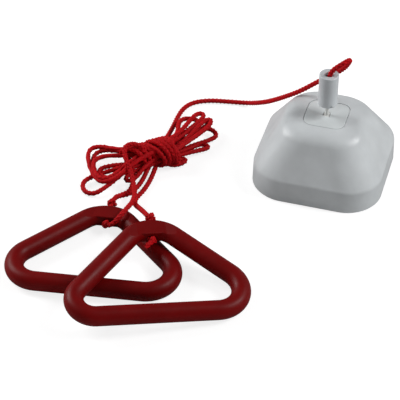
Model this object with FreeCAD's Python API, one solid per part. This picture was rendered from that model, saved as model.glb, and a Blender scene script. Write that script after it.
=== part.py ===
import FreeCAD, Part
import math
import os

os.makedirs("parts", exist_ok=True)

V = FreeCAD.Vector
X_AXIS = V(1, 0, 0)
Y_AXIS = V(0, 1, 0)
Z_AXIS = V(0, 0, 1)

# Pull cord alarm switch laid out on a table, millimetres.
# Origin: centre of the mounting face of the base plate.  +Z runs from that face to the pull side.

# Driving sizes of the housing
PLATE_SIZE = 86.0          # single-gang plate, the scale of the whole object
BAND_H = 15.8              # straight lower band of the cover
COVER_H = 43.9             # height of the flat crown
BAND_DRAFT = 0.4           # taper of the band over its height
CROWN_HALF = 0.293 * PLATE_SIZE       # half side of the crown where its planes would meet
CROWN_ROUND = 11.0                    # rounding between the slopes and the crown
FOOT_CORNER_R = 0.277 * PLATE_SIZE    # corner radius in plan at the band
CROWN_CORNER_R = 0.215 * PLATE_SIZE   # corner radius in plan at the crown
BAND_SOFT_R = 4.0                     # rounding along the line between band and slopes
WALL = 2.3
BASE_T = 2.5
GAP = 0.3                  # clearance between parts that move or snap together

# Centre plate with its guide for the pull stem
GUIDE_SIZE = 27.2
GUIDE_T = 2.0
GUIDE_CORNER_R = 6.2
GUIDE_SPIGOT = 9.4
STEM_SQ = 4.0
STEM_BORE = STEM_SQ + 2 * GAP
SPIGOT_END_Z = COVER_H - 7.5

# Pull stem and what it works on
ROD_D = 2.4
ROD_HEAD_D = 4.4
FLANGE_D = 12.0
FLANGE_Z = 19.6
FLANGE_T = 2.0
STROKE = 4.0
PIN_D = 3.0
SPRING_D = 9.6
SPRING_WIRE = 0.7
SPRING_TURNS = 6.0

# Circuit board
BOARD_Z = 10.0
BOARD_T = 1.6
BOARD_X = 54.0
BOARD_Y = 44.0
BOARD_SCREW_X = 23.0
BOARD_SCREW_Y = 18.0
ENTRY_Y = 14.0             # centre of the cable entry

# Cord connector
SLEEVE_D = 12.6
SLEEVE_Z0 = 53.0
SLEEVE_Z1 = 76.2
SLEEVE_BORE = 10.0
KNOT_CHAMBER_D = 8.4
SLEEVE_HOLE_D = 5.4
NIB_TURN = 35.0            # where the plug's nib shows at the sleeve's lower rim
CORD_D = 3.0

# Mounting pattern
SLOT_SPACING = 60.3
SLOT_W = 4.2
SLOT_L = 8.0
BOX_HOLE_SPACING = 50.8
BOX_HOLE_D = 4.4

# Triangular handles, measured on the centre line of the bar
BAR_D = 12.1
TRI_BASE = 140.0
TRI_HEIGHT = 75.1
TRI_APEX_R = 19.0
UPPER_FEET = (15.6, 16.3)  # left and right corner radius of each handle, as they lie in the photo
LOWER_FEET = (12.3, 16.5)
WEB_T = 8.0                # flat at the apex that carries the cord hole
WEB_IN_Y = TRI_HEIGHT - 15.5
FLAT_HALF = 9.0            # half length of the flat and of its flat with ramps
RAMP_HALF = 15.0
CORD_HOLE_D = 4.2
CROSSING_GAP = 0.45        # between the two bars where they cross
UPPER_BASE_MID = (-109.7, -158.7)
UPPER_TURN = 8.2
LOWER_BASE_MID = (-56.5, -171.2)
LOWER_TURN = 26.6
BAR_CROSSINGS = ((-86.6, -112.0), (-106.8, -158.7))   # where the front handle lies on the other
UPPER_KNOT = (0.0, TRI_HEIGHT + 3.2)   # outer knots, in the plane of each handle
LOWER_KNOT = (1.8, TRI_HEIGHT + 1.4)
KNOT_IN_Y = WEB_IN_Y - 2.2


def save(shape, name):
    """Write one node after a check of the solid."""
    if not shape.isValid():
        raise ValueError("invalid shape " + name)
    shape.exportStep("parts/" + name + ".step")
    box = shape.BoundBox
    print(name, "solids", len(shape.Solids), "volume", round(shape.Volume, 1),
          "z", round(box.ZMin, 2), round(box.ZMax, 2))


def rounded_square(half, radius, z, half_y=None):
    """Closed wire of a rounded square or rectangle centred on the Z axis."""
    hy = half if half_y is None else half_y
    r = radius
    c = r * math.sqrt(0.5)
    edges = []
    corners = [(half - r, hy - r, 0), (r - half, hy - r, 90), (r - half, r - hy, 180), (half - r, r - hy, 270)]
    for i, (cx, cy, deg) in enumerate(corners):
        a0 = math.radians(deg)
        a1 = math.radians(deg + 45)
        a2 = math.radians(deg + 90)
        p0 = V(cx + r * math.cos(a0), cy + r * math.sin(a0), z)
        p1 = V(cx + r * math.cos(a1), cy + r * math.sin(a1), z)
        p2 = V(cx + r * math.cos(a2), cy + r * math.sin(a2), z)
        edges.append(Part.Arc(p0, p1, p2).toShape())
        nx, ny, ndeg = corners[(i + 1) % 4]
        b0 = math.radians(ndeg)
        q0 = V(nx + r * math.cos(b0), ny + r * math.sin(b0), z)
        edges.append(Part.LineSegment(p2, q0).toShape())
    return Part.Wire(edges)


def block(x0, x1, y0, y1, z0, z1):
    return Part.makeBox(x1 - x0, y1 - y0, z1 - z0, V(x0, y0, z0))


def rod(d, z0, z1, x=0.0, y=0.0):
    return Part.makeCylinder(d / 2, z1 - z0, V(x, y, z0), Z_AXIS)


def prism(wire, height):
    return Part.Face(wire).extrude(V(0, 0, height))


def slope_half(z):
    """Half side of the sloping planes at height z."""
    w = (z - BAND_H) / (COVER_H - BAND_H)
    band_top = PLATE_SIZE / 2 - BAND_DRAFT
    return band_top + (CROWN_HALF - band_top) * w


def crown_profile():
    """Half side and height of the rounding between slope and crown."""
    run = slope_half(BAND_H) - CROWN_HALF
    rise = COVER_H - BAND_H
    turn = math.atan2(rise, run)
    tangent = CROWN_ROUND * math.tan(turn / 2)
    points = []
    steps = 6
    for i in range(steps + 1):
        a = math.pi / 2 - turn + turn * i / steps
        points.append((CROWN_HALF - tangent + CROWN_ROUND * math.cos(a),
                       COVER_H - CROWN_ROUND + CROWN_ROUND * math.sin(a)))
    return points


def corner_r(z):
    w = (z - BAND_H) / (COVER_H - BAND_H)
    return FOOT_CORNER_R + (CROWN_CORNER_R - FOOT_CORNER_R) * w


def cover_body(inset, z0, top_drop):
    """Closed body of the cover's outer form, shrunk by the inset."""
    h0 = PLATE_SIZE / 2 - inset
    h1 = slope_half(BAND_H) - inset
    band = Part.makeLoft([rounded_square(h0, FOOT_CORNER_R - inset, z0),
                          rounded_square(h1, FOOT_CORNER_R - inset, BAND_H)], True, True)
    profile = crown_profile()
    first = profile[0]
    slope = Part.makeLoft([rounded_square(h1, FOOT_CORNER_R - inset, BAND_H),
                           rounded_square(first[0] - inset, corner_r(first[1]) - inset, first[1] - top_drop)],
                          True, True)
    sections = []
    for half, z in profile:
        sections.append(rounded_square(half - inset, corner_r(z) - inset, z - top_drop))
    crown = Part.makeLoft(sections, True, False)
    body = band.fuse(slope).fuse(crown).removeSplitter()
    if inset > 0:
        return body
    line = [e for e in body.Edges if abs(e.BoundBox.ZMin - BAND_H) < 1e-3 and abs(e.BoundBox.ZMax - BAND_H) < 1e-3]
    return body.makeFillet(BAND_SOFT_R, line)


def make_cover():
    """Hollow cover with a stepped window for the centre plate and catches for the base hooks."""
    outer = cover_body(0.0, 0.0, 0.0)
    inner = cover_body(WALL, 0.0, WALL)
    boss = prism(rounded_square(GUIDE_SIZE / 2 + 2.6, GUIDE_CORNER_R + 2.0, COVER_H - 5.2), 4.0)
    shell = outer.cut(inner)
    shell = shell.fuse(boss.common(outer))
    pocket = prism(rounded_square(GUIDE_SIZE / 2 + GAP, GUIDE_CORNER_R + GAP, COVER_H - GUIDE_T), GUIDE_T + 2)
    throat = prism(rounded_square(GUIDE_SIZE / 2 - 2.0, 4.2, COVER_H - 8), 12)
    shell = shell.cut(pocket).cut(throat)
    catch_half = PLATE_SIZE / 2 - WALL
    for i in range(4):
        catch = block(-5.0, 5.0, catch_half - 0.9, catch_half + 0.4, 7.2, 8.6)
        catch.rotate(V(0, 0, 0), Z_AXIS, 90 * i)
        shell = shell.fuse(catch)
    groove = prism(rounded_square(PLATE_SIZE / 2 + 2, FOOT_CORNER_R + 2, -1), 1.6)
    groove = groove.cut(prism(rounded_square(PLATE_SIZE / 2 - 0.5, FOOT_CORNER_R - 0.5, -2), 4))
    shell = shell.cut(groove)
    return shell.removeSplitter()


def make_guide_plate():
    """Centre plate with four snap legs and the square guide of the pull stem."""
    z0 = COVER_H - GUIDE_T
    plate = prism(rounded_square(GUIDE_SIZE / 2, GUIDE_CORNER_R, z0), GUIDE_T)
    edges = [e for e in plate.Edges if abs(e.BoundBox.ZMin - COVER_H) < 1e-6 and e.BoundBox.ZLength < 1e-6]
    plate = plate.makeFillet(0.35, edges)
    tower = prism(rounded_square(GUIDE_SPIGOT / 2, 1.0, SPIGOT_END_Z), z0 - SPIGOT_END_Z + 0.5)
    body = plate.fuse(tower)
    leg_y = GUIDE_SIZE / 2 - 2.2
    for i in range(4):
        leg = block(-3.0, 3.0, leg_y - 1.4, leg_y, COVER_H - 7.4, z0 + 0.5)
        hook = Part.makePolygon([V(-3.0, leg_y, COVER_H - 5.4), V(-3.0, leg_y + 1.0, COVER_H - 5.4),
                                 V(-3.0, leg_y, COVER_H - 7.4), V(-3.0, leg_y, COVER_H - 5.4)])
        barb = Part.Face(hook).extrude(V(6.0, 0, 0))
        leg = leg.fuse(barb)
        leg.rotate(V(0, 0, 0), Z_AXIS, 90 * i)
        body = body.fuse(leg)
    bore = block(-STEM_BORE / 2, STEM_BORE / 2, -STEM_BORE / 2, STEM_BORE / 2, SPIGOT_END_Z - 1, COVER_H + 1)
    return body.cut(bore).removeSplitter()


def slot(x, y):
    """Slotted fixing hole, long side along X."""
    half = (SLOT_L - SLOT_W) / 2
    cut = block(x - half, x + half, y - SLOT_W / 2, y + SLOT_W / 2, -1, BASE_T + 1)
    cut = cut.fuse(rod(SLOT_W, -1, BASE_T + 1, x - half, y))
    return cut.fuse(rod(SLOT_W, -1, BASE_T + 1, x + half, y))


def make_base():
    """Mounting plate with rim, board posts, snap hooks and the lower guide of the stem."""
    half = PLATE_SIZE / 2 - WALL - GAP
    radius = FOOT_CORNER_R - WALL - GAP
    base = prism(rounded_square(half, radius, 0), BASE_T)
    rim = prism(rounded_square(half - 3.2, radius - 3.2, BASE_T - 0.5), 4.0)
    rim = rim.cut(prism(rounded_square(half - 4.7, radius - 4.7, 0), 12))
    base = base.fuse(rim)
    for sx in (-1, 1):
        for sy in (-1, 1):
            base = base.fuse(rod(6.4, BASE_T - 0.5, BOARD_Z, sx * BOARD_SCREW_X, sy * BOARD_SCREW_Y))
    base = base.fuse(rod(7.0, BASE_T - 0.5, 15.0))
    for i in range(4):
        outer = half
        hook = block(-4.0, 4.0, outer - 2.9, outer - 1.3, BASE_T - 0.5, 11.0)
        nose = Part.makePolygon([V(-4.0, outer - 1.3, 8.9), V(-4.0, outer - 0.2, 8.9),
                                 V(-4.0, outer - 1.3, 11.0), V(-4.0, outer - 1.3, 8.9)])
        nose = Part.Face(nose).extrude(V(8.0, 0, 0))
        hook = hook.fuse(nose)
        hook.rotate(V(0, 0, 0), Z_AXIS, 90 * i)
        base = base.fuse(hook)
    for sx in (-1, 1):
        base = base.cut(slot(sx * SLOT_SPACING / 2, 0))
        for sy in (-1, 1):
            base = base.cut(rod(2.0, BOARD_Z - 6, BOARD_Z + 1, sx * BOARD_SCREW_X, sy * BOARD_SCREW_Y))
    for sy in (-1, 1):
        base = base.cut(rod(BOX_HOLE_D, -1, BASE_T + 1, 0, sy * BOX_HOLE_SPACING / 2))
    base = base.cut(rod(PIN_D + 2 * GAP, 6.0, 16.0))
    entry = prism(rounded_square(9.0, 2.0, -1, 6.0), BASE_T + 3)
    entry.translate(V(0, ENTRY_Y, 0))
    return base.cut(entry).removeSplitter()


def make_board():
    board = prism(rounded_square(BOARD_X / 2, 3.0, BOARD_Z, BOARD_Y / 2), BOARD_T)
    board = board.cut(rod(8.0, BOARD_Z - 1, BOARD_Z + 3))
    for sx in (-1, 1):
        for sy in (-1, 1):
            board = board.cut(rod(2.7, BOARD_Z - 1, BOARD_Z + 3, sx * BOARD_SCREW_X, sy * BOARD_SCREW_Y))
    notch = prism(rounded_square(9.0, 2.0, BOARD_Z - 1, 8.0), 4)
    notch.translate(V(0, ENTRY_Y + 2.0, 0))
    return board.cut(notch)


def pan_screw(x, y, z, d, head_d, head_h, length):
    """Screw with a domed head and a cross recess, head underside at z."""
    shank = rod(d, z - length, z + 0.2, x, y)
    head = rod(head_d, z, z + head_h, x, y)
    rim = [e for e in head.Edges if abs(e.BoundBox.ZMin - z - head_h) < 1e-6 and e.Length > 1]
    head = head.makeFillet(head_h * 0.45, rim[:1])
    w = head_d * 0.09
    r = head_d * 0.3
    cross = block(x - r, x + r, y - w, y + w, z + head_h - 0.7, z + head_h + 1)
    cross = cross.fuse(block(x - w, x + w, y - r, y + r, z + head_h - 0.7, z + head_h + 1))
    return shank.fuse(head).cut(cross)


def make_board_screws():
    screws = []
    for sx in (-1, 1):
        for sy in (-1, 1):
            screws.append(pan_screw(sx * BOARD_SCREW_X, sy * BOARD_SCREW_Y, BOARD_Z + BOARD_T, 2.0, 4.4, 1.7, 6.0))
    return Part.makeCompound(screws)


TERMINALS = 5
TERMINAL_PITCH = 5.0
TERMINAL_Y = -17.0
TERMINAL_W = 8.0
TERMINAL_H = 9.0


def make_terminal_block():
    """Row of screw terminals at the cable side of the board."""
    z0 = BOARD_Z + BOARD_T
    width = TERMINALS * TERMINAL_PITCH
    body = block(-width / 2, width / 2, TERMINAL_Y - TERMINAL_W / 2, TERMINAL_Y + TERMINAL_W / 2, z0, z0 + TERMINAL_H)
    for i in range(TERMINALS):
        x = (i - (TERMINALS - 1) / 2) * TERMINAL_PITCH
        body = body.cut(rod(3.6, z0 + 4.5, z0 + TERMINAL_H + 1, x, TERMINAL_Y))
        body = body.cut(block(x - 1.7, x + 1.7, TERMINAL_Y - TERMINAL_W, TERMINAL_Y - 1.2, z0 + 1.0, z0 + 4.2))
    step = block(-width / 2 - 1, width / 2 + 1, TERMINAL_Y + 2.4, TERMINAL_Y + 5, z0 + TERMINAL_H - 1.8, z0 + 12)
    return body.cut(step)


def make_terminal_screws():
    z0 = BOARD_Z + BOARD_T
    screws = []
    for i in range(TERMINALS):
        x = (i - (TERMINALS - 1) / 2) * TERMINAL_PITCH
        head = rod(3.4, z0 + 4.5, z0 + TERMINAL_H - 1.2, x, TERMINAL_Y)
        groove = block(x - 2, x + 2, TERMINAL_Y - 0.35, TERMINAL_Y + 0.35, z0 + TERMINAL_H - 2.2, z0 + 12)
        screws.append(head.cut(groove))
    return Part.makeCompound(screws)


SWITCH_X0 = 8.2
SWITCH_X1 = 21.0
SWITCH_HALF_Y = 2.9
SWITCH_H = 5.8
LEVER_Z = FLANGE_Z - GAP - 0.4
PLUNGER_X = 12.0
PIVOT_X = 19.6
PIVOT_Z = LEVER_Z - 0.2


def make_switch_case():
    """Small snap-action switch on the board, with two cheeks for the lever pin."""
    z0 = BOARD_Z + BOARD_T
    case = block(SWITCH_X0, SWITCH_X1, -SWITCH_HALF_Y, SWITCH_HALF_Y, z0, z0 + SWITCH_H)
    upright = [e for e in case.Edges if e.BoundBox.ZLength > 5]
    case = case.makeFillet(0.5, upright)
    for s in (-1, 1):
        y0 = SWITCH_HALF_Y - 0.9 if s > 0 else -SWITCH_HALF_Y
        cheek = block(PIVOT_X - 1.2, PIVOT_X + 1.2, y0, y0 + 0.9, z0 + SWITCH_H - 0.5, PIVOT_Z + 1.0)
        case = case.fuse(cheek)
    case = case.cut(rod(2.4, z0 + SWITCH_H - 3.0, z0 + SWITCH_H + 1, PLUNGER_X, 0))
    pin = Part.makeCylinder(0.5, 8, V(PIVOT_X, -4, PIVOT_Z), Y_AXIS)
    return case.cut(pin)


def make_plunger():
    top = LEVER_Z - GAP
    z0 = BOARD_Z + BOARD_T + SWITCH_H - 2.4
    body = rod(1.8, z0, top, PLUNGER_X, 0)
    rim = [e for e in body.Edges if abs(e.BoundBox.ZMin - top) < 1e-6 and e.Length > 1]
    return body.makeFillet(0.35, rim[:1])


def make_lever():
    """Sheet lever that bridges from its pin to the underside of the stem flange."""
    arm = block(4.3, PIVOT_X - 0.4, -1.6, 1.6, LEVER_Z, LEVER_Z + 0.4)
    eye = Part.makeCylinder(1.0, 3.2, V(PIVOT_X, -1.6, PIVOT_Z), Y_AXIS)
    hole = Part.makeCylinder(0.5 + 0.06, 8, V(PIVOT_X, -4, PIVOT_Z), Y_AXIS)
    return arm.fuse(eye).cut(hole)


def make_lever_pin():
    return Part.makeCylinder(0.5, 2 * SWITCH_HALF_Y, V(PIVOT_X, -SWITCH_HALF_Y, PIVOT_Z), Y_AXIS)


LED_Y = 10.0


def make_leds():
    """Two indicator lamps on the board."""
    z0 = BOARD_Z + BOARD_T
    out = []
    for x in (-18.0, -12.5):
        body = rod(3.0, z0, z0 + 3.4, x, LED_Y)
        ball = Part.makeSphere(1.5, V(x, LED_Y, z0 + 3.4))
        out.append(body.fuse(ball).fuse(rod(3.8, z0, z0 + 0.9, x, LED_Y)).removeSplitter())
    return Part.makeCompound(out)


def make_resistors():
    z0 = BOARD_Z + BOARD_T
    out = []
    for i in range(4):
        x = -22.0 + 4.0 * i
        out.append(block(x, x + 1.6, 2.0, 5.2, z0, z0 + 0.7))
    return Part.makeCompound(out)


def make_relay():
    """Sealed relay that the switch drives."""
    z0 = BOARD_Z + BOARD_T
    body = block(-22.0, -8.0, -12.0, -2.0, z0, z0 + 8.4)
    edges = [e for e in body.Edges if e.BoundBox.ZLength > 5 or e.BoundBox.ZMin > z0 + 8]
    return body.makeFillet(0.6, edges)


def make_sounder():
    """Round alarm sounder with its centre port."""
    z0 = BOARD_Z + BOARD_T
    body = rod(12.0, z0, z0 + 7.0, 16.5, 9.5)
    rim = [e for e in body.Edges if abs(e.BoundBox.ZMin - z0 - 7.0) < 1e-6 and e.Length > 1]
    body = body.makeFillet(0.8, rim[:1])
    return body.cut(rod(2.4, z0 + 5.5, z0 + 8, 16.5, 9.5))


def make_stem():
    """Pull stem: guide pin, switch flange, square shank, thin rod and button head."""
    top = COVER_H - 0.2
    pin = rod(PIN_D, 8.0, FLANGE_Z + 0.2)
    flange = rod(FLANGE_D, FLANGE_Z, FLANGE_Z + FLANGE_T)
    h = STEM_SQ / 2
    shank = block(-h, h, -h, h, FLANGE_Z + FLANGE_T - 0.2, top)
    neck = rod(ROD_D, top - 0.5, SLEEVE_Z0 + 3.4)
    head = rod(ROD_HEAD_D, SLEEVE_Z0 + 3.2, SLEEVE_Z0 + 5.6)
    rim = [e for e in head.Edges if abs(e.BoundBox.ZMin - SLEEVE_Z0 - 5.6) < 1e-6 and e.Length > 1]
    head = head.makeFillet(0.5, rim[:1])
    return pin.fuse(flange).fuse(shank).fuse(neck).fuse(head).removeSplitter()


def make_spring():
    """Compression spring between the flange and the guide tower."""
    z0 = FLANGE_Z + FLANGE_T + SPRING_WIRE / 2
    height = SPIGOT_END_Z - SPRING_WIRE / 2 - z0
    radius = (SPRING_D - SPRING_WIRE) / 2
    helix = Part.makeHelix(height / SPRING_TURNS, height, radius)
    helix.translate(V(0, 0, z0))
    profile = Part.Wire([Part.makeCircle(SPRING_WIRE / 2, V(radius, 0, z0), Y_AXIS)])
    pipe = Part.Wire(helix.Edges).makePipeShell([profile], True, True)
    return pipe


def make_plug():
    """Plug snapped into the sleeve: it holds the stem's head and shows a small nib at the rim."""
    z0 = SLEEVE_Z0 + 0.5
    body = rod(SLEEVE_BORE, z0, z0 + 8.0)
    body = body.cut(rod(ROD_D + 2 * GAP, z0 - 1, z0 + 9))
    body = body.cut(rod(ROD_HEAD_D + 2 * GAP, SLEEVE_Z0 + 2.9, z0 + 9))
    nib = block(-0.5, 0.5, -SLEEVE_D / 2 + 0.45, -SLEEVE_BORE / 2 + 0.6, z0 + 0.35, z0 + 1.35)
    nib.rotate(V(0, 0, 0), Z_AXIS, NIB_TURN)
    return body.fuse(nib).removeSplitter()


def make_sleeve():
    """Tube that covers the joint between stem and cord."""
    body = rod(SLEEVE_D, SLEEVE_Z0, SLEEVE_Z1)
    body = body.makeFillet(0.7, [e for e in body.Edges if e.Closed and e.BoundBox.ZLength < 1e-6])
    body = body.cut(rod(SLEEVE_BORE, SLEEVE_Z0 - 1, SLEEVE_Z0 + 12.0))
    body = body.cut(rod(KNOT_CHAMBER_D, SLEEVE_Z0 + 11, SLEEVE_Z1 - 2.6))
    mouth = rod(SLEEVE_HOLE_D, SLEEVE_Z1 - 4, SLEEVE_Z1 + 1)
    flare = Part.makeCone(SLEEVE_HOLE_D / 2, SLEEVE_HOLE_D / 2 + 0.6, 0.6, V(0, 0, SLEEVE_Z1 - 0.5), Z_AXIS)
    body = body.cut(mouth).cut(flare)
    z0 = SLEEVE_Z0 + 0.5
    window = block(-0.65, 0.65, -SLEEVE_D / 2 - 1, -SLEEVE_BORE / 2 + 1, z0 + 0.2, z0 + 1.5)
    window.rotate(V(0, 0, 0), Z_AXIS, NIB_TURN)
    return body.cut(window)


def tube(points, d, name):
    """Round cord of straight runs and tangent arcs through the route points."""
    p = [V(*q) for q in points]
    radii = []
    edges = []
    last = p[0]
    for i in range(1, len(p) - 1):
        a = p[i - 1] - p[i]
        b = p[i + 1] - p[i]
        la = a.Length
        lb = b.Length
        a.normalize()
        b.normalize()
        turn = math.pi - a.getAngle(b)
        cut = 0.45 * min(la, lb)
        r = cut / math.tan(turn / 2)
        radii.append(round(r, 1))
        t0 = p[i] + a * cut
        t1 = p[i] + b * cut
        bis = a + b
        bis.normalize()
        mid = p[i] + bis * (r / math.cos(turn / 2) - r)
        edges.append(Part.LineSegment(last, t0).toShape())
        edges.append(Part.Arc(t0, mid, t1).toShape())
        last = t1
    edges.append(Part.LineSegment(last, p[-1]).toShape())
    path = Part.Wire(edges)
    start = p[1] - p[0]
    profile = Part.Wire([Part.makeCircle(d / 2, p[0], start)])
    solid = path.makePipeShell([profile], True, True)
    want = math.pi * d * d / 4 * path.Length
    print(name, "length", round(path.Length, 1), "radii", radii,
          "volume ratio", round(solid.Volume / want, 3))
    return solid


def trimmed(cord, others):
    """The stretch of cord that is left outside the bodies it ends in."""
    for other in others:
        cord = cord.cut(other)
    return max(cord.Solids, key=lambda solid: solid.Volume)


def triangle_path(feet):
    """Closed centre line of a handle: straight bars and tangent corner arcs."""
    verts = [(V(-TRI_BASE / 2, 0, 0), feet[0]), (V(TRI_BASE / 2, 0, 0), feet[1]),
             (V(0, TRI_HEIGHT, 0), TRI_APEX_R)]
    arcs = []
    for i in range(3):
        v, r = verts[i]
        a = verts[i - 1][0] - v
        b = verts[(i + 1) % 3][0] - v
        a.normalize()
        b.normalize()
        half = a.getAngle(b) / 2
        reach = r / math.tan(half)
        bis = a + b
        bis.normalize()
        arcs.append((v + a * reach, v + bis * (r / math.sin(half) - r), v + b * reach))
    edges = []
    for i in range(3):
        edges.append(Part.Arc(*arcs[i]).toShape())
        edges.append(Part.LineSegment(arcs[i][2], arcs[(i + 1) % 3][0]).toShape())
    return Part.Wire(edges), arcs


def apex_flat(path):
    """Flat web in the apex: the plane inside the bars' centre line above a straight inner edge."""
    web = Part.Face(path).extrude(V(0, 0, WEB_T))
    web.translate(V(0, 0, -WEB_T / 2))
    web = web.common(block(-TRI_BASE, TRI_BASE, WEB_IN_Y, 2 * TRI_HEIGHT, -WEB_T, WEB_T))
    rims = [e for e in web.Edges if e.BoundBox.YMax < WEB_IN_Y + 1e-3 and e.BoundBox.ZLength < 1e-3]
    return web.makeFillet(0.7, rims)


def flat_cutter(side):
    """Body above (or below) the apex flat, with a ramp up to the round bar at each end."""
    z = WEB_T / 2
    top = BAR_D
    ramp = RAMP_HALF + (RAMP_HALF - FLAT_HALF) * (top - BAR_D / 2) / (BAR_D / 2 - z)
    y = WEB_IN_Y - BAR_D
    points = [V(-ramp, y, side * top), V(-FLAT_HALF, y, side * z), V(FLAT_HALF, y, side * z), V(ramp, y, side * top)]
    return Part.Face(Part.makePolygon(points + points[:1])).extrude(V(0, 3 * BAR_D, 0))


def make_handle(feet):
    """Triangular round-bar handle, flattened at its apex round the cord hole, in its own plane."""
    path, arcs = triangle_path(feet)
    start = arcs[0][0]
    along = path.Edges[0].tangentAt(path.Edges[0].FirstParameter)
    profile = Part.Wire([Part.makeCircle(BAR_D / 2, start, along)])
    ring = path.makePipeShell([profile], True, True)
    for side in (-1, 1):
        ring = ring.cut(flat_cutter(side))
    body = ring.fuse(apex_flat(path))
    hole = Part.makeCylinder(CORD_HOLE_D / 2, 40, V(0, WEB_IN_Y - 8, 0), Y_AXIS)
    return body.cut(hole)


def knot_pair(outer, tail):
    """Cord knots on both sides of the flat, joined through its hole."""
    r = CORD_D / 2
    x, y = outer
    through = Part.makeCylinder(r, y - KNOT_IN_Y, V(0, KNOT_IN_Y, 0), Y_AXIS)
    out = Part.makeSphere(1.8 * r, V(x, y, 0))
    out = out.fuse(Part.makeTorus(1.4 * r, 1.05 * r, V(x, y - 0.6, 0), V(0.25, 1, 0.15)))
    inner = Part.makeSphere(1.6 * r, V(0, KNOT_IN_Y, 0))
    inner = inner.fuse(Part.makeTorus(1.2 * r, 0.95 * r, V(0, KNOT_IN_Y, 0), V(-0.3, 1, 0.2)))
    knot = through.fuse(out).fuse(inner)
    if tail:
        stub = tube([(0.5, KNOT_IN_Y, 0.0), (-2.2, KNOT_IN_Y - 3.0, 0.6), (-5.2, KNOT_IN_Y - 5.4, -0.4)], CORD_D,
                    "lower tail stub")
        knot = knot.fuse(stub)
    return knot


def upper_place():
    """Upper-left handle, flat on the table."""
    rot = FreeCAD.Rotation(Z_AXIS, UPPER_TURN)
    return FreeCAD.Placement(V(UPPER_BASE_MID[0], UPPER_BASE_MID[1], BAR_D / 2), rot)


def lower_place():
    """Front handle: it lies across the other at two crossings, its right corner on the table."""
    turn = math.radians(LOWER_TURN)
    ex = V(math.cos(turn), math.sin(turn), 0)
    ey = V(-math.sin(turn), math.cos(turn), 0)
    origin = V(LOWER_BASE_MID[0], LOWER_BASE_MID[1], 0)
    first = V(*BAR_CROSSINGS[0], 0)
    second = V(*BAR_CROSSINGS[1], 0)
    line = second - first
    line.normalize()
    across = V(-line.y, line.x, 0)
    half = math.atan2(TRI_HEIGHT, TRI_BASE / 2) / 2
    foot_r = LOWER_FEET[1]
    corner = origin + ex * (TRI_BASE / 2 - foot_r / math.tan(half)) + ey * foot_r
    lift = BAR_D + CROSSING_GAP
    fall = lift / ((corner - first).dot(across) + foot_r)
    ex.z = -fall * ex.dot(across)
    ey.z = -fall * ey.dot(across)
    origin.z = BAR_D / 2 + lift - fall * (origin - first).dot(across)
    rot = FreeCAD.Rotation(ex, ey, V(0, 0, 0), "XYZ")
    return FreeCAD.Placement(origin, rot)


def placed(shape, placement):
    out = shape.copy()
    out.transformShape(placement.toMatrix())
    return out


# Cord route, from the knot in the connector to the hank and on to the two handles
RISER = [(0.3, -0.2, 73.4), (1.0, -0.6, 79.0), (7.0, -2.0, 86.0), (12.0, 1.2, 89.4), (11.6, 6.8, 83.6),
         (6.9, 12.0, 72.9), (-0.4, 13.8, 66.0)]
LEAD = [(-0.4, 13.8, 66.0), (-9.0, 15.9, 57.9), (-21.4, 16.2, 46.6), (-30.6, 18.8, 38.8), (-41.9, 27.0, 26.6),
        (-53.1, 40.0, 12.6), (-65.5, 50.3, 1.6), (-79.3, 48.2, 1.6), (-92.0, 45.9, 1.6), (-102.4, 40.6, 1.6),
        (-107.1, 32.3, 1.6), (-108.0, 21.5, 1.6), (-107.6, 10.6, 2.4), (-106.9, -2.0, 5.2), (-105.8, -14.0, 9.4)]
TAIL_UPPER = [(-117.0, -47.0, 6.0), (-115.2, -54.0, 3.8), (-115.2, -62.0, 1.7), (-118.6, -69.5, 2.6),
              (-121.3, -79.0, 5.6)]
TAIL_MIDDLE = [(-117.6, -102.2, 5.6), (-113.3, -104.2, 8.0), (-109.6, -99.8, 13.4), (-107.6, -93.4, 14.2),
               (-106.4, -81.0, 10.4), (-108.6, -69.0, 10.0), (-112.6, -62.0, 16.0), (-118.2, -57.5, 21.8),
               (-123.0, -47.5, 22.6), (-121.6, -36.5, 17.4)]
TAIL_LOWER = [(-90.2, -100.6, 18.6), (-98.0, -91.4, 13.6), (-106.4, -80.0, 6.6), (-107.0, -68.0, 3.6),
              (-105.0, -56.0, 2.6), (-105.9, -44.0, 3.0), (-105.0, -34.0, 5.4)]

# Hank: a waist of wrapped turns with a fan of loops on each side
HANK_C = (-104.4, -21.6)
HANK_TURN = 38.4


def ellipse_wire(cx, cy, cz, half_w, half_h, turn):
    """Closed elliptical section that stands upright, its normal turned in plan."""
    a = math.radians(turn)
    side = V(-math.sin(a), math.cos(a), 0)
    centre = V(cx, cy, cz)
    if half_w >= half_h:
        e = Part.Ellipse(centre + side * half_w, centre + Z_AXIS * half_h, centre)
    else:
        e = Part.Ellipse(centre + Z_AXIS * half_h, centre + side * half_w, centre)
    return Part.Wire([e.toShape()])


def fan(stations):
    """Closed body through elliptical sections."""
    return Part.makeLoft([ellipse_wire(*s) for s in stations], True, True)


def lens(centre, half_l, half_w, turn):
    """Low body of a single loop of cord that lies flat on the table."""
    ring = Part.Ellipse(V(0, 0, 0), half_l, half_w).toShape()
    body = Part.Face(Part.Wire([ring])).extrude(V(0, 0, 1.1 * CORD_D))
    body.rotate(V(0, 0, 0), Z_AXIS, turn)
    body.translate(V(centre[0], centre[1], 0.05))
    return body


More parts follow.
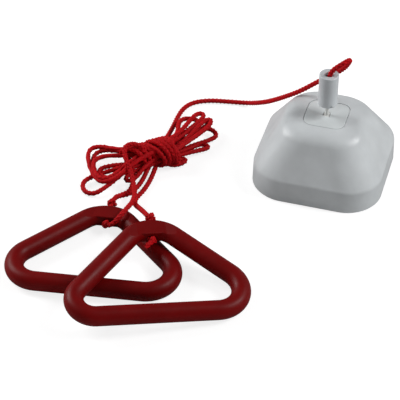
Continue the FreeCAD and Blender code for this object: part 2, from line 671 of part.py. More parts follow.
def make_hank():
    a = math.radians(HANK_TURN)
    ux, uy = math.cos(a), math.sin(a)

    def at(u, v):
        return HANK_C[0] + ux * u - uy * v, HANK_C[1] + uy * u + ux * v

    waist = fan([(*at(-12, 0), 10.0, 7.5, 7.6, HANK_TURN), (*at(-8, 0), 10.2, 10.4, 10.0, HANK_TURN),
                 (*at(8, 0), 10.2, 10.4, 10.0, HANK_TURN), (*at(13, 1), 9.0, 7.5, 7.6, HANK_TURN)])
    right = fan([(*at(8, 0), 9.0, 8.5, 8.0, HANK_TURN), (*at(20, 6), 8.0, 12.5, 7.8, HANK_TURN + 12),
                 (*at(31, 13), 7.0, 19.0, 7.0, HANK_TURN + 24), (*at(38, 17), 6.0, 15.0, 5.6, HANK_TURN + 26)])
    left = fan([(*at(-8, 0), 9.0, 8.6, 8.4, HANK_TURN), (*at(-20, 0), 9.4, 13.0, 9.2, HANK_TURN),
                (*at(-36, 0), 7.6, 18.0, 7.4, HANK_TURN), (*at(-48, -1), 6.0, 14.0, 5.8, HANK_TURN)])
    low_loop = lens((-138.2, -65.2), 9.6, 4.8, 30.0)
    bight = lens((-96.6, -27.8), 8.6, 3.0, 36.0)
    return waist.fuse(right).fuse(left).fuse(low_loop).fuse(bight)


def make_connector_knot():
    """Stopper knot of the cord inside the sleeve."""
    r = CORD_D / 2
    z = SLEEVE_Z1 - 2.9 - 2.3 * r
    body = Part.makeTorus(1.4 * r, 1.05 * r, V(0, 0, z), V(0.2, 0.1, 1))
    body = body.fuse(Part.makeSphere(1.8 * r, V(0, 0, z + 0.4)))
    body = body.fuse(Part.makeCylinder(r, 73.4 - z, V(0.3, -0.2, z), Z_AXIS))
    return body


def housing_nodes():
    save(make_cover(), "cover_shell")
    save(make_guide_plate(), "guide_plate")
    save(make_base(), "base_plate")
    save(make_board(), "circuit_board")
    save(make_board_screws(), "board_screws")
    save(make_terminal_block(), "terminal_block")
    save(make_terminal_screws(), "terminal_screws")
    save(make_switch_case(), "microswitch_case")
    save(make_plunger(), "microswitch_plunger")
    save(make_lever(), "microswitch_lever")
    save(make_lever_pin(), "lever_pivot_pin")
    save(make_leds(), "indicator_leds")
    save(make_resistors(), "resistors")
    save(make_relay(), "relay")
    save(make_sounder(), "sounder")


def pull_nodes():
    save(make_stem(), "pull_stem")
    save(make_spring(), "return_spring")
    save(make_plug(), "connector_plug")
    save(make_sleeve(), "connector_sleeve")


def cord_nodes():
    knot = make_connector_knot()
    riser = trimmed(tube(RISER, CORD_D, "cord_riser"), [knot])
    hank = make_hank()
    lead = trimmed(tube(LEAD, CORD_D, "cord_lead"), [hank])
    save(knot, "connector_knot")
    save(riser, "cord_riser")
    save(lead, "cord_lead")
    save(hank, "cord_hank")
    return hank


def handle_nodes(hank):
    upper = placed(make_handle(UPPER_FEET), upper_place())
    lower = placed(make_handle(LOWER_FEET), lower_place())
    upper_knot = placed(knot_pair(UPPER_KNOT, False), upper_place())
    lower_knot = placed(knot_pair(LOWER_KNOT, True), lower_place())
    tail_u = trimmed(tube(TAIL_UPPER, CORD_D, "cord_tail_upper"), [hank, upper_knot])
    tail_m = trimmed(tube(TAIL_MIDDLE, CORD_D, "cord_tail_middle"), [hank, upper_knot])
    tail_l = trimmed(tube(TAIL_LOWER, CORD_D, "cord_tail_lower"), [hank, lower_knot])
    save(upper, "upper_handle")
    save(upper_knot, "upper_knot")
    save(lower, "lower_handle")
    save(lower_knot, "lower_knot")
    save(tail_u, "cord_tail_upper")
    save(tail_m, "cord_tail_middle")
    save(tail_l, "cord_tail_lower")
    for name, place, knot in (("upper", upper_place(), UPPER_KNOT), ("lower", lower_place(), LOWER_KNOT)):
        centre = place.multVec(V(knot[0], knot[1], 0))
        along = place.Rotation.multVec(X_AXIS)
        print(name, "knot centre", centre, "base direction", along)


housing_nodes()
pull_nodes()
HANK = cord_nodes()
handle_nodes(HANK)
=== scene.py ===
import math
import bpy
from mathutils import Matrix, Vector


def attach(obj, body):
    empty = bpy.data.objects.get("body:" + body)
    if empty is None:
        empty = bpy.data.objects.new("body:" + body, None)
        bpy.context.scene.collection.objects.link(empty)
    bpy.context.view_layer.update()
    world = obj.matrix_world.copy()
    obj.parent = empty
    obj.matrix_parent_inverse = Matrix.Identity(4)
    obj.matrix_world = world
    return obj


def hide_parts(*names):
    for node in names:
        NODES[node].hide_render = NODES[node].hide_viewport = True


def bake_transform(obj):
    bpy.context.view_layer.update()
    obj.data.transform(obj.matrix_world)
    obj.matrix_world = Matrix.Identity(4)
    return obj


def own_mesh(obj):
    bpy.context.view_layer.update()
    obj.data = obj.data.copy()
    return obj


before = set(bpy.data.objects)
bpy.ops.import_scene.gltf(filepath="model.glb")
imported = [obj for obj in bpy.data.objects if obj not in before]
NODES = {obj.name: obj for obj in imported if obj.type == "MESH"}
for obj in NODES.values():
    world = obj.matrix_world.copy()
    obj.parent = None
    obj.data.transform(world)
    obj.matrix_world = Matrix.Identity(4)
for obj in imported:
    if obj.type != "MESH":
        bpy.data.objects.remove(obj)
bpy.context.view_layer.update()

# Camera at the photograph's viewpoint: lens and sensor in millimetres, the rest in metres and degrees
FOCAL_LENGTH = 149.52
SENSOR_WIDTH = 36.0
CLIP_END = 20.0
CAMERA_AT = (0.16016, -0.84099, 0.70629)
CAMERA_DOWN = 40.811
CAMERA_AZIMUTH = 16.294

# Sizes repeated from the part, metres
MM = 0.001
CORD_D = 0.0030
CORD_R = CORD_D / 2
HANK_C = (-0.1044, -0.0216)
HANK_TURN = math.radians(38.4)
SPRING_LOW_Z = 0.0216      # top of the stem's flange
SPRING_TOP_Z = 0.0364      # end of the guide's tower
SPRING_R = 0.00445
WIRE_R = 0.00035
SPRING_TURNS = 6

# Cord routes, in millimetres as in the part
RISER = [(0.3, -0.2, 73.4), (1.0, -0.6, 79.0), (7.0, -2.0, 86.0), (12.0, 1.2, 89.0), (11.6, 6.4, 84.2),
         (6.9, 12.0, 72.9), (-0.4, 13.8, 66.0)]
LEAD = [(-0.4, 13.8, 66.0), (-9.0, 15.9, 57.9), (-21.4, 16.2, 46.6), (-30.6, 18.8, 38.8),
        (-41.9, 27.0, 26.6), (-53.1, 40.0, 12.6), (-65.5, 50.3, 1.9), (-79.3, 48.2, 1.9),
        (-92.0, 45.9, 1.9), (-102.4, 40.6, 1.9), (-107.1, 32.3, 1.9), (-108.0, 21.5, 1.9),
        (-107.6, 10.6, 2.4), (-106.9, -2.0, 5.2), (-105.8, -14.0, 9.4)]
TAIL_UPPER = [(-118.6, -45.0, 5.0), (-116.6, -51.2, 3.0), (-115.2, -57.0, 1.9), (-115.4, -63.2, 1.9),
              (-119.0, -68.4, 2.6), (-121.1, -74.8, 5.4), (-120.9, -79.0, 6.0)]
TAIL_MIDDLE = [(-117.6, -102.2, 5.6), (-113.3, -104.2, 8.0), (-109.0, -100.5, 13.6),
               (-107.2, -93.2, 14.2), (-106.6, -82.0, 10.8), (-108.7, -71.0, 8.2), (-111.8, -63.1, 7.2),
               (-115.0, -56.7, 8.4), (-118.0, -52.2, 11.4), (-121.5, -49.0, 15.0), (-124.6, -43.9, 18.0),
               (-125.2, -40.4, 20.0), (-121.9, -36.7, 20.5), (-116.5, -35.2, 19.0), (-112.6, -34.6, 15.6)]
TAIL_LOWER = [(-90.2, -100.6, 18.6), (-97.4, -91.2, 14.2), (-105.2, -80.3, 6.9), (-108.3, -73.5, 3.6),
              (-108.6, -67.5, 2.6), (-106.4, -58.9, 2.2), (-105.6, -47.0, 2.0), (-105.8, -37.2, 3.2),
              (-105.4, -31.6, 6.0), (-104.6, -27.4, 9.0)]

# Knots, in millimetres: their middles, the cord's direction there and a direction across it
UPPER_KNOTS = [(-120.87, -81.20, 6.05), (-117.89, -101.89, 6.05)]
UPPER_ALONG = (-0.14263, 0.98978, 0.0)
UPPER_ACROSS = (0.98978, 0.14263, 0.0)
LOWER_KNOTS = [(-87.97, -102.08, 19.46), (-81.32, -119.94, 17.27)]
LOWER_ALONG = (-0.43232, 0.89305, 0.12472)
LOWER_ACROSS = (0.88911, 0.44523, -0.10612)
LOWER_STUB = [(-81.3, -119.9, 17.3), (-81.0, -121.8, 17.9), (-82.0, -124.4, 18.0), (-83.66, -127.05, 16.8)]
CONNECTOR_KNOT = (0.0, 0.0, 69.85)
CONNECTOR_WAY = [(0.0, 0.0, 69.0), (0.2, -0.1, 72.0), (0.3, -0.2, 75.0)]
OUTER_SIZE = (2.3, 1.15)   # spread across the cord and depth along it
INNER_SIZE = (1.9, 0.85)
CONNECTOR_SIZE = (2.2, 1.15)
KNOT_POINTS = 18           # control points of a knot's three crossing turns
KNOT_CORD_R = 0.00128      # metres: the cord is pulled thin in a tight knot

# The cord's surface, lengths in metres
SIDES = 24                 # points round a tube
PLAIT_WAVES = 4            # bumps of the plait round the cord
PLAIT_PITCH = 0.0027       # and along it
PLAIT_DEPTH = 0.26         # height of a bump as a share of the radius
PLAIT_SHARE = 0.15         # part of the bumps' height by which the round cord under them is thinner

# Points of a centre line between two of its control points
LEAD_STEPS = 40
TAIL_STEPS = 32
MIDDLE_STEPS = 24
HANK_STEPS = 10
KNOT_STEPS = 10
STUB_STEPS = 12
SPRING_STEPS = 3
SPRING_POINTS = 16         # control points in a turn of the spring

# The hank, in millimetres in its own frame: u along it to the right, v away from the camera, z up
WAIST_U = -3.0             # middle of the bundle of strands
WAIST_V = -5.0
WAIST_Z = 10.4
WAIST_HALF = 7.0           # the strands run straight for this far each side
STRAND_GAP = 2.9           # between neighbours in the bundle
# Rings of strands round the middle one: how many, their radius and the first one's angle
RINGS = [(6, STRAND_GAP, 0.0), (7, 1.92 * STRAND_GAP, 12.0)]
# The places in the bundle that the cord takes one after the other
STRAND_ORDER = [3, 9, 2, 8, 1, 7, 13, 6, 12, 5, 11, 4, 10]
# Each bight: turn of its axis in degrees, reach, bulge of the strand going out and of the strand
# coming back, height of its tip, and how far the bulge sits towards the tip
RIGHT_BIGHTS = [(46, 42.0, 9.0, -4.0, 5.0, 1), (42, 46.5, 3.0, -3.0, 8.0, 2),
                (36, 45.0, 2.5, -3.5, 4.6, 2), (24, 39.5, 5.5, -7.5, 4.2, 2),
                (7, 27.5, 3.6, -2.0, 1.95, 2), (31, 42.5, 2.5, -3.5, 9.0, 1)]
LEFT_BIGHTS = [(1, 42.0, 28.0, -13.0, 4.6, 1), (2, 39.5, 23.0, -10.5, 1.95, 1),
               (-4, 41.0, 16.0, -8.5, 7.0, 1), (-10, 52.8, 9.0, -8.0, 1.95, 2),
               (1, 38.0, 5.5, -8.0, 5.0, 1), (-26, 25.0, 3.4, -3.4, 3.0, 1)]
BIGHT_STEPS = 8
BIGHT_DROP = 0.8           # power by which a strand goes over from its place's height to its tip's
# The way in, the way to each wrap, and the small bight after the tight one
WAY_IN = [(3.6, 6.8, 9.4)]
TO_LOOSE = [(-19.0, 3.2, 6.2), (-25.6, 5.0, 5.0)]
TO_TIGHT = [(-15.8, 3.2, 14.6), (-12.6, -2.6, 17.4), (-8.0, -9.6, 16.6)]
LAST_BIGHT = [(2.8, -11.8, 16.8), (3.2, -14.4, 11.0), (3.4, -13.6, 5.6), (6.4, -10.4, 3.4), (10.0, -8.2, 2.9),
              (11.4, -9.9, 2.8), (10.2, -11.8, 2.7), (5.6, -12.8, 2.6), (-0.6, -12.4, 3.6), (-5.6, -8.8, 7.2)]
# Turns round the bundle: the middle is a place across the bundle and a height
LOOSE_WRAP = {"turns": 3.0, "start_u": -24.0, "pitch": 3.9, "radius": 7.2, "slant": 5.0, "from_turn": 0.0,
              "middle": (-2.4, 9.6)}
TIGHT_WRAP = {"turns": 3.75, "start_u": -9.0, "pitch": 3.0, "radius": 8.9, "slant": 5.0, "from_turn": 0.5,
              "middle": (WAIST_V, WAIST_Z)}
WRAP_POINTS = 12           # control points in a turn
# From there over the table to the upper tail, in the frame of the whole
WAY_OUT = [(-108.6, -33.5, 6.0), (-110.2, -37.8, 3.5), (-110.5, -46.8, 2.0), (-111.1, -54.0, 1.9),
           (-112.6, -60.5, 1.9), (-114.8, -65.3, 1.9), (-118.8, -68.9, 2.6), (-120.9, -73.6, 4.8)]

# Studio: floor half width, grey and glow to the camera, strength of the sky and of the backdrop
FLOOR_HALF = 3.0
FLOOR_GREY = 0.36
FLOOR_GLOW = 0.8
SKY_STRENGTH = 0.17
BACKDROP_STRENGTH = 1.0
# Lamps: place and diameter in metres, power in watts, and whether glossy surfaces mirror them
LAMP_TARGET = (0, 0, 0.03)
LAMPS = {
    "lamp_left": ((-1.12, 0.12, 0.74), 0.7, 8.8, True),
    "lamp_right": ((0.8, 0.2, 0.9), 0.5, 8, True),
    "fill_left": ((-1.3, 0.2, 0.22), 0.8, 8, False),
    "fill_front": ((0.1, -1.5, 0.12), 0.6, 4.6, False),
    "fill_right": ((1.3, 0.15, 0.42), 0.8, 5, False),
}


def link(obj):
    bpy.context.scene.collection.objects.link(obj)
    return obj


def metres(points):
    return [Vector(p) * MM for p in points]


def make_camera():
    data = bpy.data.cameras.new("camera")
    data.lens = FOCAL_LENGTH
    data.sensor_width = SENSOR_WIDTH
    data.clip_end = CLIP_END
    obj = link(bpy.data.objects.new("camera", data))
    obj.location = CAMERA_AT
    obj.rotation_euler = (math.radians(90 - CAMERA_DOWN), 0.0, math.radians(CAMERA_AZIMUTH))
    bpy.context.scene.camera = obj


def centre_line(points, steps):
    """Points along the NURBS spline that has the route's points as its control points."""
    data = bpy.data.curves.new("route", "CURVE")
    data.dimensions = "3D"
    data.resolution_u = steps
    spline = data.splines.new("NURBS")
    spline.points.add(len(points) - 1)
    for point, place in zip(spline.points, points):
        point.co = (*place, 1.0)
    spline.order_u = 3
    spline.use_endpoint_u = True
    obj = link(bpy.data.objects.new("route", data))
    bpy.context.view_layer.update()
    mesh = bpy.data.meshes.new_from_object(obj)
    line = [v.co.copy() for v in mesh.vertices]
    bpy.data.objects.remove(obj)
    bpy.data.curves.remove(data)
    bpy.data.meshes.remove(mesh)
    return line


def tube_faces(line, radius, depth, verts, uvs, faces):
    """One tube along a line, added to the lists; depth is the plait's, as a share of the radius."""
    first = len(verts)
    tangents = []
    for i in range(len(line)):
        before = line[max(i - 1, 0)]
        after = line[min(i + 1, len(line) - 1)]
        tangents.append((after - before).normalized())
    side = tangents[0].orthogonal().normalized()
    way = 0.0
    for i, (centre, along) in enumerate(zip(line, tangents)):
        side = (side - along * side.dot(along)).normalized()
        other = along.cross(side)
        if i:
            way += (centre - line[i - 1]).length
        wave = math.cos(2 * math.pi * way / PLAIT_PITCH)
        for k in range(SIDES):
            angle = 2 * math.pi * k / SIDES
            reach = radius * (1 + depth * (math.cos(PLAIT_WAVES * angle) * wave - PLAIT_SHARE))
            verts.append(centre + (side * math.cos(angle) + other * math.sin(angle)) * reach)
            uvs.append((k / SIDES, way / (2 * math.pi * CORD_R)))
    for i in range(len(line) - 1):
        here, ahead = first + i * SIDES, first + (i + 1) * SIDES
        for k in range(SIDES):
            beside = (k + 1) % SIDES
            faces.append((here + k, here + beside, ahead + beside, ahead + k))
    last = first + (len(line) - 1) * SIDES
    faces.append(tuple(reversed(range(first, first + SIDES))))
    faces.append(tuple(range(last, last + SIDES)))


def tube_piece(name, lines, radii, depth, material):
    """A piece of tubes along lines, each with its radius."""
    verts = []
    uvs = []
    faces = []
    for line, radius in zip(lines, radii):
        tube_faces(line, radius, depth, verts, uvs, faces)
    mesh = bpy.data.meshes.new(name)
    mesh.from_pydata([tuple(v) for v in verts], [], faces)
    layer = mesh.uv_layers.new(name="plait")
    for poly in mesh.polygons:
        poly.use_smooth = len(poly.vertices) == 4
        columns = [vertex % SIDES for vertex in poly.vertices]
        closes = 0 in columns and SIDES - 1 in columns
        for loop, vertex in zip(poly.loop_indices, poly.vertices):
            u, v = uvs[vertex]
            layer.data[loop].uv = (1.0 if closes and vertex % SIDES == 0 else u, v)
    mesh.update()
    mesh.materials.append(material)
    return link(bpy.data.objects.new(name, mesh))


def strand_places():
    """Places of the strands in the bundle's section, from its middle outwards."""
    places = [(0.0, 0.0)]
    for count, radius, start in RINGS:
        for k in range(count):
            angle = math.radians(start + 360.0 * k / count)
            places.append((radius * math.cos(angle), radius * math.sin(angle)))
    return [(WAIST_V + v, WAIST_Z + z) for v, z in places]


def bight(side, leave, enter, shape):
    """A loop of the cord from one place in the bundle out to its tip and back to another."""
    turn, reach, out_bulge, back_bulge, tip_z, bulb = shape
    angle = math.radians(turn)
    # highest value of sin(2 t) * sin(t) ** bulb
    most = 2 * ((bulb + 1) / (bulb + 2)) ** ((bulb + 1) / 2) / math.sqrt(bulb + 2)
    points = []
    for i in range(1, BIGHT_STEPS):
        phase = math.pi * i / BIGHT_STEPS
        far = math.sin(phase)
        near = 1 - far
        out = 2 * i < BIGHT_STEPS
        across = abs(math.sin(2 * phase)) * far ** bulb / most * (out_bulge if out else back_bulge)
        v, z = leave if out else enter
        held = near ** BIGHT_DROP
        along = WAIST_HALF + reach * far * math.cos(angle) - across * math.sin(angle)
        points.append((WAIST_U + side * along,
                       WAIST_V * far + v * near + reach * far * math.sin(angle) + across * math.cos(angle),
                       z * held + tip_z * (1 - held)))
    return points


def wrapped(turns, start_u, pitch, radius, slant, from_turn, middle):
    """Turns of the cord round the bundle, leaning from the back on the left to the front on the right."""
    points = []
    for i in range(int(turns * WRAP_POINTS) + 1):
        angle = 2 * math.pi * (from_turn + i / WRAP_POINTS)
        points.append((start_u + pitch * i / WRAP_POINTS - slant * math.cos(angle),
                       middle[0] + radius * math.cos(angle), middle[1] + radius * math.sin(angle)))
    return points


def straight(place, side):
    """A strand's straight stretch in the bundle, towards the right for side 1."""
    return [(WAIST_U - side * WAIST_HALF / 2, *place), (WAIST_U + side * WAIST_HALF / 2, *place)]


def hank_points():
    """Control points in the hank's frame: folded runs, a loose wrap, the tight wrap and a last bight."""
    strands = [strand_places()[k] for k in STRAND_ORDER]
    points = list(WAY_IN)
    for i, (left, right) in enumerate(zip(LEFT_BIGHTS, RIGHT_BIGHTS)):
        go_left, go_right, after = strands[2 * i:2 * i + 3]
        if i:
            points += straight(go_left, -1)
        points += bight(-1, go_left, go_right, left)
        points += straight(go_right, 1)
        points += bight(1, go_right, after, right)
    points += straight(strands[-1], -1)
    points += TO_LOOSE + wrapped(**LOOSE_WRAP)
    points += TO_TIGHT + wrapped(**TIGHT_WRAP)
    return points + LAST_BIGHT


def from_hank(points):
    """Points of the hank's frame in the frame of the whole, metres."""
    c, s = math.cos(HANK_TURN), math.sin(HANK_TURN)
    return [Vector((HANK_C[0] + (u * c - v * s) * MM, HANK_C[1] + (u * s + v * c) * MM, z * MM))
            for u, v, z in points]


def lay_cord(name, node, line):
    """A stretch of the cord along its line; it stands for a CAD node."""
    obj = tube_piece(name, [line], [CORD_R], PLAIT_DEPTH, CORD_RED)
    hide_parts(node)
    return obj


def lay_cords():
    """The cord's six stretches, from the connector to the handles."""
    riser = lay_cord("cord_riser_plait", "cord_riser", centre_line(metres(RISER), LEAD_STEPS))
    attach(riser, "pull")
    lead = lay_cord("cord_lead_plait", "cord_lead", centre_line(metres(LEAD), LEAD_STEPS))
    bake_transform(lead)
    upper = lay_cord("cord_tail_upper_plait", "cord_tail_upper", centre_line(metres(TAIL_UPPER), TAIL_STEPS))
    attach(upper, "housing")
    middle = lay_cord("cord_tail_middle_plait", "cord_tail_middle",
                      centre_line(metres(TAIL_MIDDLE), MIDDLE_STEPS))
    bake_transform(middle)
    lower = lay_cord("cord_tail_lower_plait", "cord_tail_lower", centre_line(metres(TAIL_LOWER), TAIL_STEPS))
    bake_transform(lower)
    hank_line = centre_line(from_hank(hank_points()) + metres(WAY_OUT), HANK_STEPS)
    hank = lay_cord("cord_hank_plait", "cord_hank", hank_line)
    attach(hank, "housing")


def knot_line(place, along, across, size):
    """Centre line of a tight overhand knot: three crossing turns round the cord's direction."""
    place, along, across = Vector(place), Vector(along), Vector(across)
    third = along.cross(across)
    spread, depth = size
    points = []
    for k in range(KNOT_POINTS + 2):
        t = 2 * math.pi * k / KNOT_POINTS
        points.append(place + across * (spread * (math.sin(t) + 2 * math.sin(2 * t)) / 3)
                      + third * (spread * (math.cos(t) - 2 * math.cos(2 * t)) / 3)
                      - along * (depth * math.sin(3 * t)))
    return centre_line(metres(points), KNOT_STEPS)


def handle_knots(name, node, body, places, along, across, stub=None):
    """The two knots of a handle and the cord between them through the flat's hole."""
    outer, inner = places
    between = (Vector(outer) + Vector(inner)) / 2
    lines = [knot_line(outer, along, across, OUTER_SIZE), knot_line(inner, along, across, INNER_SIZE),
             centre_line(metres([outer, between, inner]), TAIL_STEPS)]
    radii = [KNOT_CORD_R] * len(lines)
    if stub:
        lines.append(centre_line(metres(stub), STUB_STEPS))
        radii.append(CORD_R)
    obj = tube_piece(name, lines, radii, PLAIT_DEPTH, CORD_RED)
    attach(obj, body)
    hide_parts(node)


def connector_knot():
    """The stopper knot in the connector and the cord that leaves it upwards."""
    lines = [knot_line(CONNECTOR_KNOT, (0, 0, 1), (1, 0, 0), CONNECTOR_SIZE),
             centre_line(metres(CONNECTOR_WAY), STUB_STEPS)]
    obj = tube_piece("connector_knot_plait", lines, [KNOT_CORD_R, CORD_R], PLAIT_DEPTH, CORD_RED)
    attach(obj, "pull")
    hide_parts("connector_knot")


def return_spring():
    """Helix of round wire, pressed against the guide's tower as the cord is pulled."""
    low, top = SPRING_LOW_Z + WIRE_R, SPRING_TOP_Z - WIRE_R
    steps = SPRING_TURNS * SPRING_POINTS
    points = []
    for i in range(steps + 1):
        angle = 2 * math.pi * i / SPRING_POINTS
        points.append(Vector((SPRING_R * math.cos(angle), SPRING_R * math.sin(angle),
                              low + (top - low) * i / steps)))
    obj = tube_piece("return_spring_wire", [centre_line(points, SPRING_STEPS)], [WIRE_R], 0, SPRING)
    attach(obj, "housing")
    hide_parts("return_spring")
    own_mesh(obj)


def srgb(r, g, b):
    """Linear colour of a display colour."""
    out = []
    for c in (r, g, b):
        c = c / 255
        out.append(c / 12.92 if c <= 0.04045 else ((c + 0.055) / 1.055) ** 2.4)
    return tuple(out)


def scaled(colour, factor):
    return tuple(c * factor for c in colour)


class Finish:
    """A principled material and the textures that vary it."""

    def __init__(self, name, colour, roughness, specular=0.5, metallic=0.0):
        self.mat = bpy.data.materials.new(name)
        self.mat.use_nodes = True
        self.nodes = self.mat.node_tree.nodes
        self.links = self.mat.node_tree.links
        self.shader = self.nodes["Principled BSDF"]
        self.shader.inputs["Base Color"].default_value = (*colour, 1)
        self.shader.inputs["Roughness"].default_value = roughness
        self.shader.inputs["Specular IOR Level"].default_value = specular
        self.shader.inputs["Metallic"].default_value = metallic

    def noise(self, scale, detail=3.0, stretch=(1, 1, 1)):
        """Noise over the object's own coordinates, in cells per metre."""
        coords = self.nodes.new("ShaderNodeTexCoord")
        mapping = self.nodes.new("ShaderNodeMapping")
        mapping.inputs["Scale"].default_value = stretch
        texture = self.nodes.new("ShaderNodeTexNoise")
        texture.inputs["Scale"].default_value = scale
        texture.inputs["Detail"].default_value = detail
        self.links.new(coords.outputs["Object"], mapping.inputs["Vector"])
        self.links.new(mapping.outputs["Vector"], texture.inputs["Vector"])
        return texture.outputs["Fac"]

    def shade(self, factor, dark, light, low=0.35, high=0.65):
        """Base colour from dark to light as the factor goes from low to high."""
        ramp = self.nodes.new("ShaderNodeValToRGB")
        ramp.color_ramp.elements[0].position = low
        ramp.color_ramp.elements[0].color = (*dark, 1)
        ramp.color_ramp.elements[1].position = high
        ramp.color_ramp.elements[1].color = (*light, 1)
        self.links.new(factor, ramp.inputs["Fac"])
        self.links.new(ramp.outputs["Color"], self.shader.inputs["Base Color"])

    def gloss(self, factor, low, high):
        """Roughness from low to high over the middle of the factor's range."""
        span = self.nodes.new("ShaderNodeMapRange")
        span.inputs["From Min"].default_value = 0.3
        span.inputs["From Max"].default_value = 0.7
        span.inputs["To Min"].default_value = low
        span.inputs["To Max"].default_value = high
        self.links.new(factor, span.inputs["Value"])
        self.links.new(span.outputs["Result"], self.shader.inputs["Roughness"])

    def bump(self, factor, strength, depth):
        """Surface relief of the factor; depth in metres."""
        node = self.nodes.new("ShaderNodeBump")
        node.inputs["Strength"].default_value = strength
        node.inputs["Distance"].default_value = depth
        self.links.new(factor, node.inputs["Height"])
        self.links.new(node.outputs["Normal"], self.shader.inputs["Normal"])


def plastic(name, display, roughness, specular=0.5, grain=900.0, depth=0.00002, spread=0.05):
    """Moulded plastic: a trace of flow in the colour, a fine grain and a gloss that varies a little."""
    colour = srgb(*display)
    finish = Finish(name, colour, roughness, specular)
    finish.shade(finish.noise(scale=60.0), scaled(colour, 1 - spread), scaled(colour, 1 + spread))
    finish.gloss(finish.noise(scale=220.0), low=roughness * 0.88, high=roughness * 1.12)
    finish.bump(finish.noise(grain), strength=0.25, depth=depth)
    return finish.mat


def metal(name, display, roughness, stretch=(1, 1, 12)):
    """Metal whose gloss and relief follow the stretch of its working marks."""
    colour = srgb(*display)
    finish = Finish(name, colour, roughness, metallic=1.0)
    finish.shade(finish.noise(scale=300.0), scaled(colour, 0.88), colour)
    finish.gloss(finish.noise(500.0, 2.0, stretch), low=roughness * 0.8, high=roughness * 1.25)
    finish.bump(finish.noise(1500.0, 2.0, stretch), strength=0.2, depth=0.00001)
    return finish.mat


def cord_material():
    """Plaited polyester: random tone in the colour, its dark end painted shade for the shadows between the
    yarns.
    """
    colour = srgb(196, 7, 18)
    finish = Finish("red_cord", colour, roughness=0.7, specular=0.18)
    # painted shade: the noise's darkest patches, half the cord's colour, stand for shadow between the yarns;
    # the rest is random tone
    finish.shade(finish.noise(1500.0, detail=4.0), scaled(colour, 0.5), scaled(colour, 1.15), 0.3, 0.7)
    finish.gloss(finish.noise(scale=900.0), low=0.6, high=0.85)
    finish.bump(finish.noise(2600.0, detail=2.0), strength=0.5, depth=0.00012)
    return finish.mat


def board_material():
    """Solder-masked board: tracks show as a paler net under the green lacquer."""
    colour = srgb(28, 96, 52)
    finish = Finish("board_green", colour, roughness=0.35)
    coords = finish.nodes.new("ShaderNodeTexCoord")
    tracks = finish.nodes.new("ShaderNodeTexVoronoi")
    tracks.feature = "DISTANCE_TO_EDGE"
    tracks.distance = "MANHATTAN"
    tracks.inputs["Scale"].default_value = 190.0
    finish.links.new(coords.outputs["Object"], tracks.inputs["Vector"])
    finish.shade(tracks.outputs["Distance"], srgb(52, 132, 74), colour, low=0.06, high=0.10)
    finish.bump(finish.noise(scale=700.0), strength=0.15, depth=0.00002)
    return finish.mat


def node_finishes():
    """The material of every node that isn't cord, with display colours from 0 to 255."""
    housing = plastic("housing_plastic", (200, 204, 206), roughness=0.33, specular=0.45)
    guide = plastic("guide_plastic", (202, 207, 208), roughness=0.36, specular=0.45)
    sleeve = plastic("sleeve_plastic", (196, 201, 204), roughness=0.34, specular=0.45)
    stem = plastic("stem_nylon", (208, 209, 206), roughness=0.4)
    handle = plastic("handle_plastic", (110, 4, 5), roughness=0.42, specular=0.17, grain=500.0,
                     depth=0.00003, spread=0.08)
    steel = metal("zinc_steel", (188, 190, 192), roughness=0.3)
    brass = metal("nickel_brass", (202, 196, 172), roughness=0.3)
    board = board_material()
    terminal = plastic("terminal_plastic", (42, 92, 60), roughness=0.42)
    black = plastic("black_plastic", (34, 34, 36), roughness=0.4)
    relay = plastic("relay_plastic", (36, 60, 128), roughness=0.32)
    switch = plastic("switch_plastic", (44, 44, 48), roughness=0.38)
    button = plastic("button_plastic", (196, 60, 40), roughness=0.4)
    ceramic = plastic("resistor_body", (186, 164, 120), roughness=0.5)
    led_lens = plastic("led_lens", (176, 24, 20), roughness=0.18)
    return {
        "cover_shell": housing, "base_plate": housing, "guide_plate": guide, "circuit_board": board,
        "board_screws": steel, "terminal_block": terminal, "terminal_screws": steel,
        "microswitch_case": switch, "microswitch_plunger": button, "microswitch_lever": brass,
        "lever_pivot_pin": steel, "indicator_leds": led_lens, "resistors": ceramic, "relay": relay,
        "sounder": black, "pull_stem": stem, "return_spring": SPRING, "connector_plug": sleeve,
        "connector_sleeve": sleeve, "upper_handle": handle, "lower_handle": handle,
    }


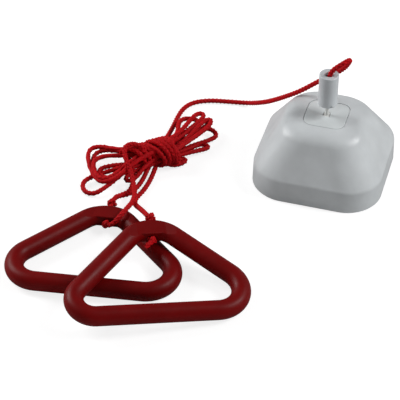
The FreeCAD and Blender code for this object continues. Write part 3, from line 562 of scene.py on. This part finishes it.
def make_floor():
    """Pale floor that keeps the object's shadow and glows a little for the camera only."""
    mesh = bpy.data.meshes.new("floor")
    corners = [(-FLOOR_HALF, -FLOOR_HALF, 0), (FLOOR_HALF, -FLOOR_HALF, 0),
               (FLOOR_HALF, FLOOR_HALF, 0), (-FLOOR_HALF, FLOOR_HALF, 0)]
    mesh.from_pydata(corners, [], [(0, 1, 2, 3)])
    obj = link(bpy.data.objects.new("floor", mesh))
    mat = bpy.data.materials.new("floor")
    mat.use_nodes = True
    nodes = mat.node_tree.nodes
    links = mat.node_tree.links
    nodes.clear()
    out = nodes.new("ShaderNodeOutputMaterial")
    diffuse = nodes.new("ShaderNodeBsdfDiffuse")
    diffuse.inputs["Color"].default_value = (FLOOR_GREY, FLOOR_GREY, FLOOR_GREY, 1)
    glow = nodes.new("ShaderNodeEmission")
    glow.inputs["Strength"].default_value = FLOOR_GLOW
    path = nodes.new("ShaderNodeLightPath")
    add = nodes.new("ShaderNodeAddShader")
    seen = nodes.new("ShaderNodeMixShader")
    links.new(path.outputs["Is Camera Ray"], seen.inputs[0])
    links.new(glow.outputs[0], seen.inputs[2])
    links.new(diffuse.outputs[0], add.inputs[0])
    links.new(seen.outputs[0], add.inputs[1])
    links.new(add.outputs[0], out.inputs["Surface"])
    mesh.materials.append(mat)


def make_world():
    """A dim sky that lights the object, and a white backdrop for the camera."""
    world = bpy.data.worlds.new("studio")
    bpy.context.scene.world = world
    world.use_nodes = True
    nodes = world.node_tree.nodes
    links = world.node_tree.links
    nodes.clear()
    out = nodes.new("ShaderNodeOutputWorld")
    sky = nodes.new("ShaderNodeBackground")
    sky.inputs["Strength"].default_value = SKY_STRENGTH
    backdrop = nodes.new("ShaderNodeBackground")
    backdrop.inputs["Strength"].default_value = BACKDROP_STRENGTH
    backdrop.inputs["Color"].default_value = (1, 1, 1, 1)
    path = nodes.new("ShaderNodeLightPath")
    mix = nodes.new("ShaderNodeMixShader")
    links.new(path.outputs["Is Camera Ray"], mix.inputs[0])
    links.new(sky.outputs[0], mix.inputs[1])
    links.new(backdrop.outputs[0], mix.inputs[2])
    links.new(mix.outputs[0], out.inputs["Surface"])


def area_light(name, place, diameter, power, seen_in_gloss):
    """A round soft lamp that points at the housing."""
    data = bpy.data.lights.new(name, "AREA")
    data.shape = "DISK"
    data.size = diameter
    data.energy = power
    obj = link(bpy.data.objects.new(name, data))
    obj.location = place
    obj.rotation_euler = (Vector(LAMP_TARGET) - Vector(place)).to_track_quat("-Z", "Y").to_euler()
    obj.visible_glossy = seen_in_gloss


make_camera()
CORD_RED = cord_material()
SPRING = metal("spring_steel", (150, 152, 156), roughness=0.24, stretch=(1, 1, 1))
lay_cords()
handle_knots("upper_knots_plait", "upper_knot", "upper_grip", UPPER_KNOTS, UPPER_ALONG, UPPER_ACROSS)
handle_knots("lower_knots_plait", "lower_knot", "lower_grip", LOWER_KNOTS, LOWER_ALONG, LOWER_ACROSS,
             LOWER_STUB)
connector_knot()
return_spring()
make_floor()
make_world()
for lamp, settings in LAMPS.items():
    area_light(lamp, *settings)
bpy.context.scene.view_settings.view_transform = "Standard"

finishes = node_finishes()
for name, obj in NODES.items():
    obj.data.materials.clear()
    obj.data.materials.append(finishes.get(name, CORD_RED))
